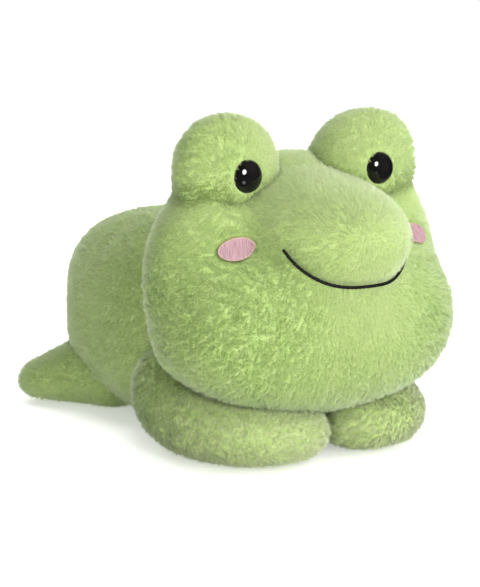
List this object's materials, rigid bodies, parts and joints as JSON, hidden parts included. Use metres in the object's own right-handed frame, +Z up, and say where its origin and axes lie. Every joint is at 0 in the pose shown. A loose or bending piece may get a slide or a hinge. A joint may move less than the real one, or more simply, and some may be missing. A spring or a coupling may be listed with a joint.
{
  "type": "plush frog",
  "caption": "Plush frog lying on its belly, with domed eyes on raised bumps, satin-stitched cheeks, a corded smile, arms folded under the chin and hind feet at the rear.",
  "frame": {"origin": "on the floor, under the middle of the frog's bounding box", "axes": "+Y from the snout to the hind feet, +Z up, +X towards the frog's left side"},
  "size_m": [0.1614, 0.2318, 0.161],
  "materials": {
    "fur_green": "short, dense plush pile",
    "filling_fibre": "loose polyester fibre",
    "eye_black": "polished",
    "washer_white": "moulded",
    "cheek_pink": "satin-stitched embroidery",
    "thread_black": "twisted embroidery thread"
  },
  "bodies": {
    "body": {"body_skin": "fur_green", "body_filling": "filling_fibre"},
    "head": {"head_skin": "fur_green", "head_filling": "filling_fibre", "eye_bump_skin_left": "fur_green", "eye_bump_filling_left": "filling_fibre", "eye_left": "eye_black", "eye_washer_left": "washer_white", "cheek_patch_left": "cheek_pink", "eye_bump_skin_right": "fur_green", "eye_bump_filling_right": "filling_fibre", "eye_right": "eye_black", "eye_washer_right": "washer_white", "cheek_patch_right": "cheek_pink", "mouth_thread": "thread_black"},
    "arm_left": {"arm_left_skin": "fur_green", "arm_left_filling": "filling_fibre"},
    "arm_right": {"arm_right_skin": "fur_green", "arm_right_filling": "filling_fibre"},
    "leg_left": {"leg_left_skin": "fur_green", "leg_left_filling": "filling_fibre"},
    "leg_right": {"leg_right_skin": "fur_green", "leg_right_filling": "filling_fibre"}
  },
  "joints": [
    {"name": "neck_nod", "type": "hinge", "parent": "body", "child": "head", "pos_m": [0, 0.003, 0.05], "axis": [-1, 0, 0], "range_deg": [0, 18], "stiffness_Nm_per_rad": 1},
    {"name": "arm_left_splay", "type": "hinge", "parent": "body", "child": "arm_left", "pos_m": [0.044, -0.016, 0.027], "axis": [0, 0, 1], "range_deg": [0, 30], "stiffness_Nm_per_rad": 0.3},
    {"name": "arm_right_splay", "type": "hinge", "parent": "body", "child": "arm_right", "pos_m": [-0.044, -0.016, 0.027], "axis": [0, 0, -1], "range_deg": [0, 30], "stiffness_Nm_per_rad": 0.3},
    {"name": "leg_left_splay", "type": "hinge", "parent": "body", "child": "leg_left", "pos_m": [0.034, 0.063, 0.0205], "axis": [0, 0, -1], "range_deg": [0, 25], "stiffness_Nm_per_rad": 0.3},
    {"name": "leg_right_splay", "type": "hinge", "parent": "body", "child": "leg_right", "pos_m": [-0.034, 0.063, 0.0205], "axis": [0, 0, 1], "range_deg": [0, 25], "stiffness_Nm_per_rad": 0.3}
  ]
}
